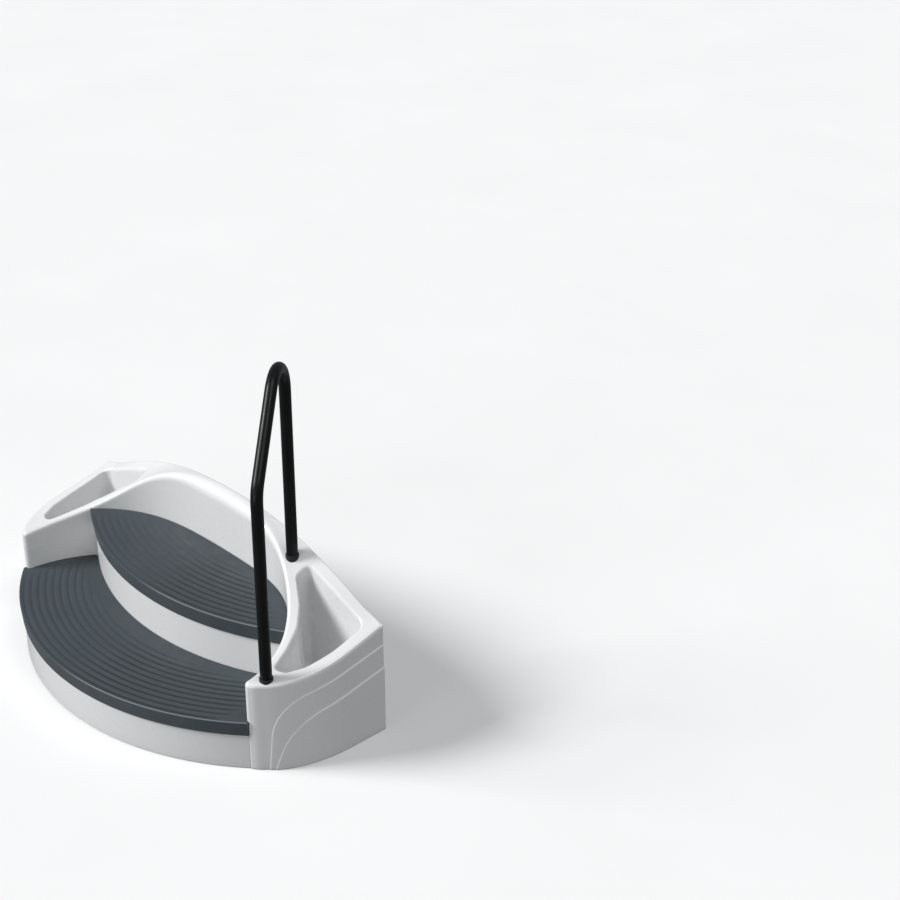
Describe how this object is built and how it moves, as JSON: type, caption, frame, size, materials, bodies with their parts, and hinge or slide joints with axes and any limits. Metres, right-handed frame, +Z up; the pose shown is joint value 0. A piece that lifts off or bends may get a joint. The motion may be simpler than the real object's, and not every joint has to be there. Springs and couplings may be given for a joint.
{
  "type": "spa steps",
  "caption": "Curved two-tread spa steps with a white moulded body, planter pockets in both wings, grey ribbed treads, a lift-out black handrail and levelling feet.",
  "frame": {"origin": "on the floor at the middle of the footprint", "axes": "+X to the right of someone who climbs the steps, +Y back towards the spa, +Z up"},
  "size_m": [1.7048, 0.782, 1.3708],
  "materials": {
    "white_moulding": "satin white moulded plastic",
    "slate_tread": "ribbed slate grey plastic",
    "black_powder_coat": "satin black powder coat",
    "black_rubber": "matt",
    "zinc_steel": "zinc plated",
    "grey_nylon": "moulded nylon",
    "treated_timber": "pressure-treated softwood, sawn"
  },
  "bodies": {
    "steps": {"body_moulding": "white_moulding", "lower_riser": "white_moulding", "upper_riser": "white_moulding", "back_panel": "white_moulding", "lower_tread": "slate_tread", "upper_tread": "slate_tread", "handrail_collar_front": "black_rubber", "handrail_collar_rear": "black_rubber", "handrail_socket_front": "zinc_steel", "handrail_socket_rear": "zinc_steel", "back_panel_screw_1": "zinc_steel", "back_panel_screw_2": "zinc_steel", "back_panel_screw_3": "zinc_steel", "back_panel_screw_4": "zinc_steel", "back_panel_screw_5": "zinc_steel", "back_panel_screw_6": "zinc_steel", "tee_nut_front_left": "zinc_steel", "tee_nut_front_right": "zinc_steel", "tee_nut_rear_left": "zinc_steel", "tee_nut_rear_right": "zinc_steel", "base_rail_left": "treated_timber", "base_rail_right": "treated_timber", "lower_front_beam": "treated_timber", "lower_front_post_left": "treated_timber", "lower_front_post_right": "treated_timber", "lower_rear_beam": "treated_timber", "lower_rear_post_left": "treated_timber", "lower_rear_post_right": "treated_timber", "upper_front_beam": "treated_timber", "upper_front_post_left": "treated_timber", "upper_front_post_right": "treated_timber", "upper_rear_beam": "treated_timber", "upper_rear_post_left": "treated_timber", "upper_rear_post_right": "treated_timber"},
    "handrail": {"handrail_tube": "black_powder_coat", "handrail_plug_front": "black_rubber", "handrail_plug_rear": "black_rubber"},
    "drain_plug_left": {"planter_drain_plug_left": "black_rubber"},
    "drain_plug_right": {"planter_drain_plug_right": "black_rubber"},
    "pad_front_left": {"foot_pad_front_left": "grey_nylon"},
    "stud_front_left": {"foot_stud_front_left": "zinc_steel"},
    "pad_front_right": {"foot_pad_front_right": "grey_nylon"},
    "stud_front_right": {"foot_stud_front_right": "zinc_steel"},
    "pad_rear_left": {"foot_pad_rear_left": "grey_nylon"},
    "stud_rear_left": {"foot_stud_rear_left": "zinc_steel"},
    "pad_rear_right": {"foot_pad_rear_right": "grey_nylon"},
    "stud_rear_right": {"foot_stud_rear_right": "zinc_steel"}
  },
  "joints": [
    {"name": "handrail_lift", "type": "slide", "parent": "steps", "child": "handrail", "axis": [0, 0, 1], "range_m": [0, 0.13]},
    {"name": "drain_plug_pull_left", "type": "slide", "parent": "steps", "child": "drain_plug_left", "axis": [0, 0, 1], "range_m": [0, 0.03]},
    {"name": "drain_plug_pull_right", "type": "slide", "parent": "steps", "child": "drain_plug_right", "axis": [0, 0, 1], "range_m": [0, 0.03]},
    {"name": "foot_height_front_left", "type": "slide", "parent": "steps", "child": "pad_front_left", "axis": [0, 0, -1], "range_m": [0, 0.012]},
    {"name": "stud_turn_front_left", "type": "hinge", "parent": "pad_front_left", "child": "stud_front_left", "pos_m": [-0.36, -0.194, 0.014], "axis": [0, 0, 1], "range_deg": [0, 2880.5]},
    {"name": "foot_height_front_right", "type": "slide", "parent": "steps", "child": "pad_front_right", "axis": [0, 0, -1], "range_m": [0, 0.012]},
    {"name": "stud_turn_front_right", "type": "hinge", "parent": "pad_front_right", "child": "stud_front_right", "pos_m": [0.36, -0.194, 0.014], "axis": [0, 0, 1], "range_deg": [0, 2880.5]},
    {"name": "foot_height_rear_left", "type": "slide", "parent": "steps", "child": "pad_rear_left", "axis": [0, 0, -1], "range_m": [0, 0.012]},
    {"name": "stud_turn_rear_left", "type": "hinge", "parent": "pad_rear_left", "child": "stud_rear_left", "pos_m": [-0.36, 0.241, 0.014], "axis": [0, 0, 1], "range_deg": [0, 2880.5]},
    {"name": "foot_height_rear_right", "type": "slide", "parent": "steps", "child": "pad_rear_right", "axis": [0, 0, -1], "range_m": [0, 0.012]},
    {"name": "stud_turn_rear_right", "type": "hinge", "parent": "pad_rear_right", "child": "stud_rear_right", "pos_m": [0.36, 0.241, 0.014], "axis": [0, 0, 1], "range_deg": [0, 2880.5]}
  ],
  "couplings": [
    {"joint": "stud_turn_front_left", "follows": "foot_height_front_left", "rad_per_m": 4188.8},
    {"joint": "stud_turn_front_right", "follows": "foot_height_front_right", "rad_per_m": 4188.8},
    {"joint": "stud_turn_rear_left", "follows": "foot_height_rear_left", "rad_per_m": 4188.8},
    {"joint": "stud_turn_rear_right", "follows": "foot_height_rear_right", "rad_per_m": 4188.8}
  ]
}
